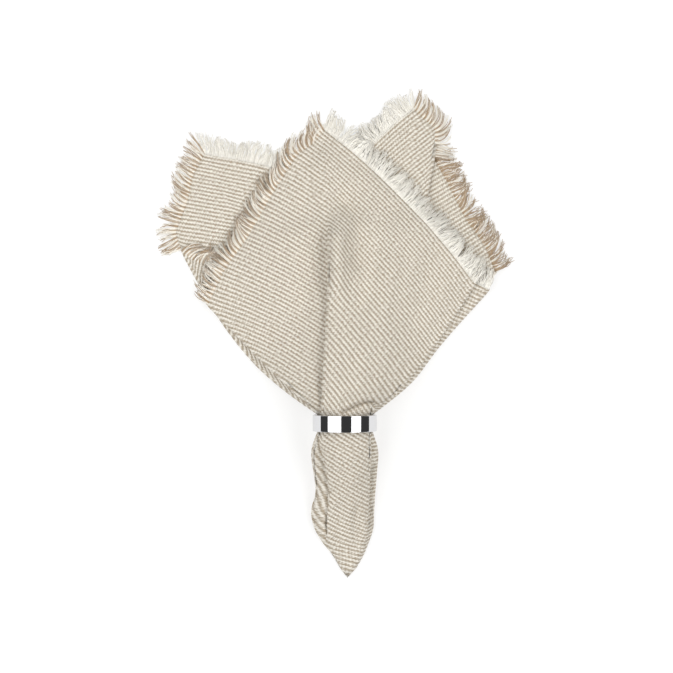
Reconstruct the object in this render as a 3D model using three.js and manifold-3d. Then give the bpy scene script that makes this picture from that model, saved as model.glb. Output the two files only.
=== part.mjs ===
// A square striped cloth napkin with frayed edges, pulled by its middle through a metal band.
// It lies on its side on a table: the fan of folds points to +Y, the gathered tail to -Y.
// Millimetres, +Z up, the table is z = 0.
import * as THREE from "three";
import Module from "manifold-3d";

const wasm = await Module();
wasm.setup();

// Cloth: its woven square measures 440 mm a side and is frayed to fringe all round.
const CLOTH_THICKNESS = 1.1;
const FRINGE_LENGTH = 13;
const LAYER_PITCH = 1.7;
const LAYER_SAG = 36;

// Fringe locks stand on a narrow strip along the cut edge.
const LOCK = { pitch: 7.8, width: 3, tipWidth: 1.4, thickness: 0.5, lean: 2.4 };
const STRIP = { gap: 0.6, width: 1.2, thickness: 0.55, clearOfFold: 3.2 };

// Band ring, its axis along Y.
const RING = { x: 4.8, y: -61.2, outer: 21.2, wall: 1.2, width: 10.8, edgeRound: 0.4, facets: 40 };
const BUNDLE_RADIUS = 18;
const NECK_HALF_LENGTH = 7;
const NECK_Y = RING.y + NECK_HALF_LENGTH;

// How far from the ring the round bundle has flattened into the fan.
const FLATTEN_LENGTH = 80;
const FOLD_BEND = 1.3;

// The fold lines and corners, met in this order when walking round the cloth's edge.
// edge: where the line ends at the cloth's edge. ring: its x in the bundle, from the ring's axis.
// way: a point the line passes on the way, at the given share of its length.
const LINES = {
  pleat_top: { side: "left", edge: [-12.4, 130.2], ring: -14.2, way: [0.67, -5.5, 72] },
  pleat_under: { side: "right", edge: [-15.7, 125.2], ring: 12, way: [0.67, -10, 70] },
  front_left: { side: "left", edge: [-86.8, 17.3], ring: -16.8, way: [0.48, -49.2, -20.9] },
  left_inner: { side: "right", edge: [8, 54], ring: 13 },
  left_outer: { side: "left", edge: [-113.6, 50.1], ring: -17.5, way: [0.44, -63.3, -14.9] },
  corner_b: { side: "corner", edge: [-89.4, 118.4], ring: -7 },
  back_right: { side: "right", edge: [33, 69.5], ring: 15.6 },
  back_left: { side: "left", edge: [-72, 28], ring: -17.2 },
  corner_c: { side: "corner", edge: [51.3, 149.3], ring: 3 },
  tuck_top: { side: "right", edge: [67.3, 124.5], ring: 15.2, way: [0.6, 59.5, 80] },
  tuck_under: { side: "left", edge: [60.6, 113], ring: 2, way: [0.6, 52, 72] },
  right_outer: { side: "right", edge: [106, 38.7], ring: 15.4, way: [0.52, 61, -8] },
  low_left: { side: "left", edge: [-10, 52], ring: -15.5 },
  low_right: { side: "right", edge: [88, 58], ring: 12 },
  corner_d: { side: "corner", edge: [34, 134], ring: 2 },
  base_left: { side: "left", edge: [-6, 97], ring: -13 },
  band_right: { side: "right", edge: [100.8, 27.3], ring: 17.5, way: [0.54, 66, -11.6] },
  band_inner: { side: "left", edge: [42, 56], ring: -4 },
  front_right: { side: "right", edge: [91.5, 31.3], ring: 16.4, way: [0.36, 49.5, -27.6] },
  corner_a: { side: "corner", edge: [-9.1, 135.2], ring: -11 },
};

// The passes of cloth between folds in the same order. level 0 is the top layer.
// edges: which cut edge each stretch carries, plain along the stripes or mixed across them.
const PASSES = [
  { name: "pleat", level: 1, lines: ["pleat_top", "pleat_under"], edges: [""], columns: 1 },
  { name: "front_left", level: 2, lines: ["pleat_under", "front_left"], edges: ["mixed"], columns: 7 },
  { name: "left_under", level: 5, lines: ["front_left", "left_inner"], edges: ["mixed"], columns: 6 },
  { name: "left_turn", level: 6, lines: ["left_inner", "left_outer"], edges: ["mixed"], columns: 7 },
  {
    name: "left_flap", level: 7, lines: ["left_outer", "corner_b", "back_right"],
    edges: ["mixed", "plain"], columns: 4,
  },
  { name: "back_turn", level: 8, lines: ["back_right", "back_left"], edges: ["plain"], columns: 6 },
  {
    name: "right_flap", level: 9, lines: ["back_left", "corner_c", "tuck_top"],
    edges: ["plain", "mixed"], columns: 4,
  },
  { name: "tuck", level: 10, lines: ["tuck_top", "tuck_under"], edges: [""], columns: 1 },
  { name: "right_low", level: 11, lines: ["tuck_under", "right_outer"], edges: ["mixed"], columns: 4 },
  { name: "low_turn", level: 12, lines: ["right_outer", "low_left"], edges: ["mixed"], columns: 4 },
  { name: "low_back", level: 13, lines: ["low_left", "low_right"], edges: ["mixed"], columns: 4 },
  {
    name: "hidden_flap", level: 14, lines: ["low_right", "corner_d", "base_left"],
    edges: ["mixed", "plain"], columns: 3,
  },
  { name: "base", level: 15, lines: ["base_left", "band_right"], edges: ["plain"], columns: 4 },
  { name: "band", level: 4, lines: ["band_right", "band_inner"], edges: ["plain"], columns: 3 },
  { name: "band_under", level: 3, lines: ["band_inner", "front_right"], edges: ["plain"], columns: 3 },
  {
    name: "front_right", level: 0, lines: ["front_right", "corner_a", "pleat_top"],
    edges: ["plain", ""], columns: 7,
  },
];

// Shares of a fold line's length where the fan has a row of points.
const FAN_SHARES = [0.07, 0.15, 0.24, 0.34, 0.45, 0.56, 0.67, 0.78, 0.9, 1];

// The gathered tail: its outline and height at distances below the ring's middle.
const TAIL = [
  { below: 7, left: -18, right: 18, height: 36.2, lift: 3.1 },
  { below: 18, left: -21, right: 20.8, height: 34, lift: 1.4 },
  { below: 34, left: -20.2, right: 20.4, height: 28, lift: 0.55 },
  { below: 48, left: -19.8, right: 19.6, height: 22, lift: 0.55 },
  { below: 61, left: -21.2, right: 18.9, height: 16.5, lift: 0.55 },
  { below: 72, left: -18.2, right: 18, height: 12, lift: 0.55 },
  { below: 81, left: -13, right: 13.6, height: 9, lift: 0.55 },
  { below: 90, left: -5.6, right: 9, height: 6.5, lift: 0.55 },
  { below: 97, left: -1.6, right: 5.6, height: 4.5, lift: 0.7 },
];
const TIP = { below: 102.3, x: 1.8, z: 1.6 };
const TAIL_CLOSES = { from: 14, to: 74 };
const TAIL_THINS = { from: 60, to: 90 };
const PLEAT_FADES = { from: 118, to: 140 };

const CLOTH_COLOUR = 0xd9cfbf;
const PLAIN_FRINGE_COLOUR = 0xf1ece0;
const MIXED_FRINGE_COLOUR = 0xcdbda4;
const METAL_COLOUR = 0xc9cbcd;

const mix = (a, b, share) => a + (b - a) * share;
const clamp = (value, low, high) => Math.min(high, Math.max(low, value));

function smooth(low, high, value) {
  const share = clamp((value - low) / (high - low), 0, 1);
  return share * share * (3 - 2 * share);
}

// One row of the tail table, interpolated at a distance below the ring's middle.
function tailAt(below) {
  const next = TAIL.findIndex((row) => row.below >= below);
  if (next <= 0) return TAIL[next === 0 ? 0 : TAIL.length - 1];
  const [a, b] = [TAIL[next - 1], TAIL[next]];
  const share = (below - a.below) / (b.below - a.below);
  const keys = ["left", "right", "height", "lift"];
  return Object.fromEntries(keys.map((key) => [key, mix(a[key], b[key], share)]));
}

// Inner folds of the tail draw back to one side, so that fewer layers reach the tip.
function tailX(line, below) {
  const row = tailAt(below);
  const half = (row.right - row.left) / 2;
  const closing = smooth(TAIL_CLOSES.from, TAIL_CLOSES.to, below);
  const goesRight = ["band_inner", "band_right", "front_right"].includes(line.name);
  const wall = goesRight ? 0.93 : -0.93;
  const ownSide = line.side === "left" ? -1 : 1;
  const isInner = line.side !== "corner" && ownSide !== Math.sign(wall);
  const target = isInner ? wall - 0.06 * Math.sign(wall) : line.ring / BUNDLE_RADIUS;
  const share = mix(line.ring / BUNDLE_RADIUS, target, closing);
  return (row.left + row.right) / 2 + half * share;
}

// Plan position of a line at a row.
function lineAt(line, row) {
  if (row.part === "tail") return [RING.x + tailX(line, row.below), RING.y - row.below];
  const start = [RING.x + line.ring, NECK_Y];
  if (row.part === "neck") return [start[0], row.y];
  if (!line.way) {
    return [mix(start[0], line.edge[0], row.share), mix(start[1], line.edge[1], row.share)];
  }
  const [wayShare, wayX, wayY] = line.way;
  const early = row.share <= wayShare;
  const share = early ? row.share / wayShare : (row.share - wayShare) / (1 - wayShare);
  const [from, to] = early ? [start, [wayX, wayY]] : [[wayX, wayY], line.edge];
  return [mix(from[0], to[0], share), mix(from[1], to[1], share)];
}

for (const [name, line] of Object.entries(LINES)) line.name = name;

const tailRows = TAIL.slice(1).reverse().map((row) => ({ part: "tail", below: row.below }));
const neckRows = [RING.y - NECK_HALF_LENGTH, NECK_Y].map((y) => ({ part: "neck", y }));
const fanRows = FAN_SHARES.map((share) => ({ part: "fan", share }));
const ROWS = [...tailRows, ...neckRows, ...fanRows];

// The outline of a pass in plan, drawn out at the cut edge by the length of its fringe.
function outline(pass) {
  const lines = pass.lines.map((name) => LINES[name]);
  const left = ROWS.map((row) => lineAt(lines[0], row));
  const right = ROWS.map((row) => lineAt(lines[lines.length - 1], row)).reverse();
  const cut = lines.map(({ edge: [x, y] }) => {
    const reach = Math.hypot(x - RING.x, y - RING.y);
    const grow = 1 + (FRINGE_LENGTH + 1) / reach;
    return [RING.x + (x - RING.x) * grow, RING.y + (y - RING.y) * grow];
  });
  return [...left, ...cut, ...right];
}

// Distance from a point to an outline, 0 inside it.
function distanceOutside(points, x, y) {
  let inside = false;
  let best = Infinity;
  points.forEach(([ax, ay], index) => {
    const [bx, by] = points[(index + 1) % points.length];
    if (ay > y !== by > y && x < ax + ((y - ay) * (bx - ax)) / (by - ay)) inside = !inside;
    const length2 = (bx - ax) ** 2 + (by - ay) ** 2 || 1;
    const share = clamp(((x - ax) * (bx - ax) + (y - ay) * (by - ay)) / length2, 0, 1);
    best = Math.min(best, Math.hypot(x - mix(ax, bx, share), y - mix(ay, by, share)));
  });
  return inside ? 0 : best;
}

for (const pass of PASSES) pass.outline = outline(pass);

const reachOf = (x, y) => Math.hypot(x - RING.x, Math.max(0, y - NECK_Y));

// How much of a layer lies under or over a point, from 0 to 1.
function cover(pass, x, y) {
  const reach = reachOf(x, y);
  const sag = mix(3, LAYER_SAG, smooth(10, 60, reach));
  let share = 1 - smooth(1.2, 1.2 + sag, distanceOutside(pass.outline, x, y));
  const below = RING.y - y;
  const throughTip = pass.name === "front_right" || pass.name === "base";
  if (!throughTip) share *= 1 - 0.97 * smooth(TAIL_THINS.from, TAIL_THINS.to, below);
  if (pass.level === 1 || pass.level === 2) {
    share *= 1 - smooth(PLEAT_FADES.from, PLEAT_FADES.to, reach);
  }
  return share;
}

// Height of the middle of a layer: it lies on the layers that are under it at that point.
function heightOf(level, x, y) {
  let under = 0;
  let all = 0;
  for (const pass of PASSES) {
    const share = cover(pass, x, y);
    all += share;
    if (pass.level > level) under += share;
  }
  all = Math.max(all, under + 0.5);
  const below = RING.y - y;
  const inTail = below > NECK_HALF_LENGTH;
  const row = tailAt(Math.max(below, NECK_HALF_LENGTH));
  const spread = 1.12 * Math.max(0, y - NECK_Y);
  const middle = (row.left + row.right) / 2;
  const half = (row.right - row.left) / 2 + spread;
  const across = clamp((x - RING.x - middle) / half, -0.98, 0.98);
  const arc = Math.sqrt(1 - across * across);
  const round = inTail ? 1 : 1 - smooth(0, FLATTEN_LENGTH, reachOf(x, y));
  const tall = row.height * arc;
  const floor = row.lift + (row.height / 2) * (1 - arc) * (inTail ? smooth(40, 7, below) : 1);
  const low = mix(CLOTH_THICKNESS / 2, floor, round);
  const stack = mix(LAYER_PITCH * all, tall, round);
  return low + (stack * (under + 0.5 * round)) / all;
}

// The columns of points of the sheet, walking once round it.
function makeColumns() {
  const columns = [];
  PASSES.forEach((pass, index) => {
    const lines = pass.lines.map((name) => LINES[name]);
    const spans = lines.length - 1;
    columns.push({ pass, from: lines[0], to: lines[1], share: 0, bend: 1 });
    lines.slice(1).forEach((to, span) => {
      const from = lines[span];
      for (let step = 1; step <= pass.columns; step += 1) {
        const share = step / (pass.columns + (span === spans - 1 ? 1 : 0));
        columns.push({ pass, from, to, share, bend: 0 });
      }
    });
    columns.push({ pass, from: lines[spans - 1], to: lines[spans], share: 1, bend: -1 });
    const next = PASSES[(index + 1) % PASSES.length];
    const gap = Math.abs(next.level - pass.level);
    const steps = gap > 1 ? 3 : 1;
    for (let step = 1; step <= steps; step += 1) {
      const turn = step / (steps + 1);
      columns.push({ pass, next, line: lines[spans], turn, gap });
    }
  });
  return columns;
}

// Middle of the sheet at a column and row.
function sheetPoint(column, row) {
  if (column.line) {
    const [x, y] = lineAt(column.line, row);
    const high = heightOf(column.pass.level, x, y);
    const low = heightOf(column.next.level, x, y);
    const out = column.line.side === "left" ? -1 : 1;
    const bulge = column.gap > 1 ? 0.9 * Math.sin(Math.PI * column.turn) : 0;
    const share = (1 - Math.cos(Math.PI * column.turn)) / 2;
    return new THREE.Vector3(x + out * bulge, y, mix(high, low, share));
  }
  const a = lineAt(column.from, row);
  const b = lineAt(column.to, row);
  const width = Math.hypot(b[0] - a[0], b[1] - a[1]) || 1;
  const bend = Math.min(FOLD_BEND / width, 0.3) * column.bend;
  const share = clamp(column.share + bend, 0, 1);
  const x = mix(a[0], b[0], share);
  const y = mix(a[1], b[1], share);
  return new THREE.Vector3(x, y, heightOf(column.pass.level, x, y));
}

// One closed solid from the grid of middle points: outer face, inner face, cut edge and tip.
function makeSheet() {
  const columns = makeColumns();
  const count = columns.length;
  const grid = ROWS.map((row) => columns.map((column) => sheetPoint(column, row)));
  const tip = new THREE.Vector3(RING.x + TIP.x, RING.y - TIP.below, TIP.z);
  const half = CLOTH_THICKNESS / 2;
  const positions = [];
  const put = (x, y, z) => positions.push(x, y, Math.max(0, z)) / 3 - 1;
  const across = new THREE.Vector3();
  const along = new THREE.Vector3();
  const layer = (sign) => grid.map((points, row) => points.map((point, column) => {
    across.subVectors(points[(column + 1) % count], points[(column + count - 1) % count]);
    const before = row > 0 ? grid[row - 1][column] : tip;
    const after = row < grid.length - 1 ? grid[row + 1][column] : point;
    along.subVectors(after, before);
    const normal = across.cross(along).normalize().multiplyScalar(sign * half);
    return put(point.x + normal.x, point.y + normal.y, point.z + normal.z);
  }));
  const faces = [];
  const quad = (a, b, c, d) => faces.push(a, b, c, a, c, d);
  const outer = layer(-1);
  const inner = layer(1);
  for (let row = 0; row < grid.length - 1; row += 1) {
    for (let column = 0; column < count; column += 1) {
      const next = (column + 1) % count;
      quad(outer[row][column], outer[row + 1][column], outer[row + 1][next], outer[row][next]);
      quad(inner[row][next], inner[row + 1][next], inner[row + 1][column], inner[row][column]);
    }
  }
  const last = grid.length - 1;
  const outerTip = put(tip.x, tip.y - half, tip.z);
  const innerTip = put(tip.x, tip.y + half, tip.z);
  for (let column = 0; column < count; column += 1) {
    const next = (column + 1) % count;
    quad(outer[last][column], inner[last][column], inner[last][next], outer[last][next]);
    faces.push(outerTip, outer[0][column], outer[0][next]);
    faces.push(innerTip, inner[0][next], inner[0][column]);
  }
  return toGeometry(positions, faces);
}

// A closed solid through like sections, each a short ring of points, with flat ends.
function sweep(sections) {
  const sides = sections[0].length;
  const faces = [];
  for (let index = 0; index < sections.length - 1; index += 1) {
    for (let side = 0; side < sides; side += 1) {
      const a = index * sides + side;
      const b = index * sides + ((side + 1) % sides);
      faces.push(a, b, b + sides, a, b + sides, a + sides);
    }
  }
  const last = (sections.length - 1) * sides;
  for (let side = 1; side < sides - 1; side += 1) {
    faces.push(0, side + 1, side, last, last + side, last + side + 1);
  }
  const mesh = new wasm.Mesh({
    numProp: 3,
    vertProperties: new Float32Array(sections.flat(2)),
    triVerts: new Uint32Array(faces),
  });
  return new wasm.Manifold(mesh);
}

// The fringe of one straight stretch of cut edge, from line a to line b of a pass.
function makeFringe(pass, a, b, seed) {
  const [ax, ay] = a.edge;
  const [bx, by] = b.edge;
  const length = Math.hypot(bx - ax, by - ay);
  const tangent = [(bx - ax) / length, (by - ay) / length];
  let outward = [tangent[1], -tangent[0]];
  const away = outward[0] * ((ax + bx) / 2 - RING.x) + outward[1] * ((ay + by) / 2 - RING.y);
  if (away < 0) outward = outward.map((value) => -value);
  const turn = tangent[0] * outward[1] - tangent[1] * outward[0];
  const start = STRIP.clearOfFold;
  const end = length - STRIP.clearOfFold;
  const count = Math.max(1, Math.round((end - start) / LOCK.pitch));
  const pitch = (end - start) / count;
  const section = (at, out, width, thickness, rounded, flat) => {
    const x = ax + tangent[0] * at + outward[0] * out;
    const y = ay + tangent[1] * at + outward[1] * out;
    const z = Math.max(heightOf(pass.level, x, y), thickness / 2 + 0.05);
    const [u, v] = flat ? outward : tangent.map((value) => -value * turn);
    const corner = (side, up) => [x + u * side * width, y + v * side * width, z + up * thickness];
    if (rounded) return [corner(-0.5, -0.5), corner(0.5, -0.5), corner(0, 0.5)];
    return [corner(-0.5, -0.5), corner(0.5, -0.5), corner(0.5, 0.5), corner(-0.5, 0.5)];
  };
  const middle = STRIP.gap + STRIP.width / 2;
  const stations = Math.max(1, Math.round(count / 2));
  const along = Array.from({ length: stations + 1 }, (_, index) => (
    section(mix(start, end, index / stations), middle, STRIP.width, STRIP.thickness, false, true)
  ));
  let solid = sweep(turn > 0 ? along : along.reverse());
  for (let index = 0; index < count; index += 1) {
    const at = start + pitch * (index + 0.5);
    const lean = LOCK.lean * Math.sin(index * 2.1 + seed * 1.7);
    const reach = FRINGE_LENGTH * (0.86 + 0.14 * Math.sin(index * 3.7 + seed));
    const lock = sweep([
      section(at, middle, LOCK.width, LOCK.thickness, true, false),
      section(at + lean, reach, LOCK.tipWidth, LOCK.thickness * 0.8, true, false),
    ]);
    solid = solid.add(lock);
  }
  const mesh = solid.getMesh();
  const positions = [];
  for (let vertex = 0; vertex < mesh.numVert; vertex += 1) {
    const first = vertex * mesh.numProp;
    positions.push(...mesh.vertProperties.slice(first, first + 3));
  }
  return toGeometry(positions, Array.from(mesh.triVerts));
}

function toGeometry(positions, faces) {
  const geometry = new THREE.BufferGeometry();
  geometry.setAttribute("position", new THREE.Float32BufferAttribute(positions, 3));
  geometry.setIndex(faces);
  return geometry;
}

// The band: a thin wall with eased edges, turned about its axis and laid along Y.
function makeRing() {
  const { outer, wall, width, edgeRound, facets } = RING;
  const half = width / 2;
  const inner = outer - wall;
  const flat = outer / Math.cos(Math.PI / facets);
  const profile = [
    [inner, -half], [flat - edgeRound, -half], [flat, edgeRound - half],
    [flat, half - edgeRound], [flat - edgeRound, half], [inner, half], [inner, -half],
  ].map(([radius, height]) => new THREE.Vector2(radius, height));
  const geometry = new THREE.LatheGeometry(profile, facets);
  geometry.rotateY(Math.PI / facets);
  return geometry;
}

function piece(name, geometry, colour, roughness, metalness) {
  const material = new THREE.MeshStandardMaterial({ color: colour, roughness, metalness });
  const mesh = new THREE.Mesh(geometry, material);
  mesh.name = name;
  return mesh;
}

const napkin = new THREE.Group();
const sheet = piece("napkin", makeSheet(), CLOTH_COLOUR, 0.95, 0);
const ring = piece("napkin_ring", makeRing(), METAL_COLOUR, 0.08, 1);
ring.position.set(RING.x, RING.y, RING.outer);
napkin.add(sheet, ring);

PASSES.forEach((pass, seed) => {
  pass.edges.forEach((kind, span) => {
    if (!kind) return;
    const [a, b] = [LINES[pass.lines[span]], LINES[pass.lines[span + 1]]];
    const colour = kind === "plain" ? PLAIN_FRINGE_COLOUR : MIXED_FRINGE_COLOUR;
    const name = `fringe_${kind}_${pass.name}`;
    napkin.add(piece(name, makeFringe(pass, a, b, seed), colour, 0.95, 0));
  });
});

// The origin is the middle of the footprint.
const footprint = new THREE.Box3().setFromObject(napkin).getCenter(new THREE.Vector3());
napkin.position.set(-footprint.x, -footprint.y, 0);

export default napkin;
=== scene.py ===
"""A striped cloth napkin with frayed edges, pulled by its middle through a polished band ring.

Sizes are in millimetres until a mesh is written. The plan is the one of the part's source: the fan of
folds points to +Y and the gathered tail to -Y. The cloth is a stack of passes between fold lines, and
each pass is laid on the passes under it.
"""

import math

import bmesh
import bpy
import numpy as np
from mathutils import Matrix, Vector


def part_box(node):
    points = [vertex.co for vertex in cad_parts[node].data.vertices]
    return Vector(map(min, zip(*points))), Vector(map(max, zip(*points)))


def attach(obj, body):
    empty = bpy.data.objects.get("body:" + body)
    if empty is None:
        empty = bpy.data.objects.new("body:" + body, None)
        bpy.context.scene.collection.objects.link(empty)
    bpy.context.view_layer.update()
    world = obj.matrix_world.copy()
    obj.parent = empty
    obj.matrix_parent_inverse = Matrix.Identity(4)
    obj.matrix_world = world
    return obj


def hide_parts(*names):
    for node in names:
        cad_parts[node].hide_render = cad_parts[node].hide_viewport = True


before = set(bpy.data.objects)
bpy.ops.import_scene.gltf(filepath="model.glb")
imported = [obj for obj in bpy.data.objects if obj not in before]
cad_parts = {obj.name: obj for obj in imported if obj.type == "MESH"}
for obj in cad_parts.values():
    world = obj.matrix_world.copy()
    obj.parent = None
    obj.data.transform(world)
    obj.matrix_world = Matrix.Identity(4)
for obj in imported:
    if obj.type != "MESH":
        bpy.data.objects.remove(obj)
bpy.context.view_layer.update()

MM = 0.001
rng = np.random.default_rng(11)

# Cloth: the woven square and its fringe, before it is gathered.
CLOTH_THICKNESS = 1.1
FRINGE_LENGTH = 13
# The stack: the height of one layer, how far a layer slopes down beyond the edge of one under it, and
# how far from the ring the round bundle has become flat.
LAYER_PITCH = 1.7
LAYER_SAG = 14
FLATTEN_LENGTH = 80
# Folds: how wide they bend, how far they bulge out at most, and the share of that which is left where
# the tail and the ring press them.
FOLD_BEND = 1.3
WIDEST_FOLD = 1.2
PRESSED_FOLD = 0.25

RING = {"x": 4.8, "y": -61.2, "outer": 21.2, "wall": 1.2, "width": 10.8, "edge_round": 0.4}
BUNDLE_RADIUS = 18
NECK_HALF_LENGTH = 6
NECK_Y = RING["y"] + NECK_HALF_LENGTH
TIP = {"below": 104.2, "x": 1.8, "z": 1.6}
RING_FLAT_RADIUS = 111

# The fold lines and corners, met in this order when walking round the cloth's edge.
# edge: where the line ends at the cloth's edge. ring: its x in the bundle, from the ring's axis.
# ways: shares of the length and points that the line passes. flat: its end on the woven square, from the
# square's middle. angle: the direction in which it leaves that middle, if not straight to its end.
LINES = {
    "pleat_top": dict(side="left", edge=(-12.4, 130.2), ring=-13.7, ways=[(0.67, -5.7, 72)],
                      flat=(214, 220), angle=39.5, flat_way=(171, 174)),
    "pleat_under": dict(side="right", edge=(-15.7, 125.2), ring=12, ways=[(0.67, -5.9, 71.7)],
                        flat=(207.5, 220), angle=50.1, flat_way=(170.5, 174), tail=0.1),
    "front_left": dict(side="left", edge=(-86.8, 17.3), ring=-16.8, ways=[(0.48, -49.2, -20.9)],
                       flat=(91, 220), angle=59.7, flat_way=(69.5, 158), tail=-1),
    "left_inner": dict(side="right", edge=(8, 54), ring=13, flat=(-25, 220)),
    "left_outer": dict(side="left", edge=(-104, 53.5), ring=-17.5,
                       ways=[(0.08, -20.5, -50), (0.36, -53, -24), (0.57, -73, 0), (0.82, -92, 31)],
                       flat=(-151, 220), flat_way=(-132.5, 196), tail=-0.92),
    "corner_b": dict(side="corner", edge=(-89.4, 118.4), ring=-7,
                     ways=[(0.6, -54.5, 49)], flat=(-220, 220), flat_way=(-158, 160)),
    "back_right": dict(side="right", edge=(33, 69.5), ring=15.6, flat=(-220, 90)),
    "back_left": dict(side="left", edge=(-72, 28), ring=-17.2, flat=(-220, -32), tail=-0.92),
    "corner_c": dict(side="corner", edge=(51.3, 149.3), ring=3, flat=(-220, -220)),
    "tuck_top": dict(side="right", edge=(65.5, 124.5), ring=15.2, ways=[(0.74, 57, 80)],
                     flat=(-190, -220), flat_way=(-159, -185)),
    "tuck_under": dict(side="left", edge=(64.9, 115), ring=2, ways=[(0.74, 52, 72)],
                       flat=(-176, -220), flat_way=(-146, -172)),
    "right_outer": dict(side="right", edge=(106, 38.7), ring=15.4, ways=[(0.52, 61, -8)],
                        flat=(-90, -220), flat_way=(-75, -160)),
    "low_left": dict(side="left", edge=(-10, 52), ring=-15.5, flat=(28, -220)),
    "low_right": dict(side="right", edge=(88, 58), ring=12, flat=(130, -220)),
    "corner_d": dict(side="corner", edge=(34, 134), ring=2, flat=(220, -220)),
    "base_left": dict(side="left", edge=(-6, 97), ring=-13, flat=(220, -165)),
    "band_right": dict(side="right", edge=(100.8, 27.3), ring=17.5,
                       ways=[(0.07, 28, -51), (0.33, 50, -32.6), (0.54, 65.5, -12.6)],
                       flat=(220, -44), tail=0.98),
    "band_inner": dict(side="left", edge=(42, 56), ring=-4, flat=(220, 22)),
    "front_right": dict(side="right", edge=(91.5, 31.3), ring=16.9,
                        ways=[(0.05, 23.5, -50), (0.12, 30.8, -47.3), (0.36, 49.8, -28)],
                        flat=(220, 77), angle=13.5, flat_way=(147, 45)),
    "corner_a": dict(side="corner", edge=(-9.1, 135.2), ring=-12.8, ways=[(0.67, -4.7, 72.8)],
                     flat=(220, 220), angle=38.5, flat_way=(172.4, 173)),
}

# In the tail the creases wander off the straight lines of the woven square: distance below the ring's
# middle and direction from the square's middle, in degrees.
TAIL_ANGLES = {
    "pleat_top": [(-5, 39.5), (5, 42.5), (20, 43.5), (36, 42.5), (53, 43.5), (70, 46.5), (83, 48.4),
                  (104, 50)],
    "corner_a": [(-5, 38.5), (5, 41.5), (20, 42.5), (36, 41.5), (53, 42.5), (70, 45.5), (83, 47.4),
                 (104, 49)],
    "pleat_under": [(-5, 50.1), (5, 54), (104, 54)],
    "front_left": [(-5, 59.7), (5, 71), (20, 72.5), (104, 72.5)],
    "front_right": [(-5, 13.5), (5, 24), (20, 23), (36, 19.5), (53, 12), (70, 0), (83, -16), (104, -20)],
    "band_inner": [(-5, 5.7), (60, -6), (104, -24)],
    "band_right": [(-5, -11.3), (60, -18), (104, -30)],
}

# Where creases run in the tail: distance below the ring's middle and share of the tail's half width.
TAIL_SHARES = {
    "front_right": [(6, 0.9), (12, 0.8), (20, 0.76), (60, 0.78), (104, 0.8)],
    "pleat_top": [(6, -0.77), (11, -0.8), (18.7, -0.65), (28, -0.56), (38.5, -0.52), (51, -0.47),
                  (61, -0.47), (69, -0.52), (75, -0.62), (79, -0.77), (85, -0.96), (104, -0.96)],
    "corner_a": [(6, -0.72), (11, -0.76), (18.7, -0.61), (28, -0.52), (38.5, -0.48), (51, -0.43),
                 (61, -0.43), (69, -0.48), (75, -0.58), (79, -0.73), (85, -0.92), (104, -0.92)],
}

# The passes of cloth between folds in the same order. level 0 is the top layer.
# edges: which cut edge each stretch carries, plain along the stripes or mixed across them.
PASSES = [
    dict(name="pleat", level=1, lines=["pleat_top", "pleat_under"], edges=[""]),
    dict(name="front_left", level=2, lines=["pleat_under", "front_left"], edges=["mixed"]),
    dict(name="left_under", level=5, lines=["front_left", "left_inner"], edges=["mixed"]),
    dict(name="left_turn", level=6, lines=["left_inner", "left_outer"], edges=["mixed"]),
    dict(name="left_flap", level=7, lines=["left_outer", "corner_b", "back_right"],
         edges=["mixed", "plain"]),
    dict(name="back_turn", level=8, lines=["back_right", "back_left"], edges=["plain"]),
    dict(name="right_flap", level=9, lines=["back_left", "corner_c", "tuck_top"],
         edges=["plain", "mixed"]),
    dict(name="tuck", level=10, lines=["tuck_top", "tuck_under"], edges=[""]),
    dict(name="right_low", level=11, lines=["tuck_under", "right_outer"], edges=["mixed"]),
    dict(name="low_turn", level=12, lines=["right_outer", "low_left"], edges=["mixed"]),
    dict(name="low_back", level=13, lines=["low_left", "low_right"], edges=["mixed"]),
    dict(name="hidden_flap", level=14, lines=["low_right", "corner_d", "base_left"],
         edges=["mixed", "plain"]),
    dict(name="base", level=15, lines=["base_left", "band_right"], edges=["plain"]),
    dict(name="band", level=4, lines=["band_right", "band_inner"], edges=["plain"]),
    dict(name="band_under", level=3, lines=["band_inner", "front_right"], edges=["plain"]),
    dict(name="front_right", level=0, lines=["front_right", "corner_a", "pleat_top"],
         edges=["plain", ""]),
]

# Points that a cut edge passes between two lines, where it isn't straight.
CUT_WAYS = {
    ("pleat_under", "front_left"): [(-21.1, 122.4), (-39.9, 97.7), (-61.3, 60.8), (-75.4, 40)],
    ("front_right", "corner_a"): [(67.3, 61.5), (46.6, 84.3), (21.1, 109.7)],
    ("left_inner", "left_outer"): [(-40, 46), (-72, 44), (-86, 44), (-98, 47.5)],
    ("left_outer", "corner_b"): [(-107.5, 60.1), (-100.8, 86.9), (-96.8, 103.7)],
    ("corner_b", "back_right"): [(-45.9, 109.7)],
    ("back_left", "corner_c"): [(24.5, 125.8), (35.8, 136.5)],
    ("corner_c", "tuck_top"): [(60, 139.9), (64.7, 135.2)],
    ("tuck_under", "right_outer"): [(72, 102.3), (88.5, 71), (98.8, 56.1)],
}

# The gathered tail: its outline and height at distances below the ring's middle.
TAIL = [
    dict(below=6, left=-18, right=18, height=36.2, lift=3.1),
    dict(below=18, left=-21.9, right=21.8, height=34, lift=1.4),
    dict(below=34, left=-21, right=21.3, height=28, lift=0.55),
    dict(below=46, left=-19.4, right=20.3, height=22.6, lift=0.55),
    dict(below=61, left=-22, right=19.4, height=16.5, lift=0.55),
    dict(below=72, left=-19.4, right=18.8, height=12, lift=0.55),
    dict(below=81, left=-14.2, right=15.8, height=9, lift=0.55),
    dict(below=90, left=-7, right=12, height=6.5, lift=0.55),
    dict(below=98, left=-2.6, right=7.4, height=4.2, lift=0.7),
]
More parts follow.
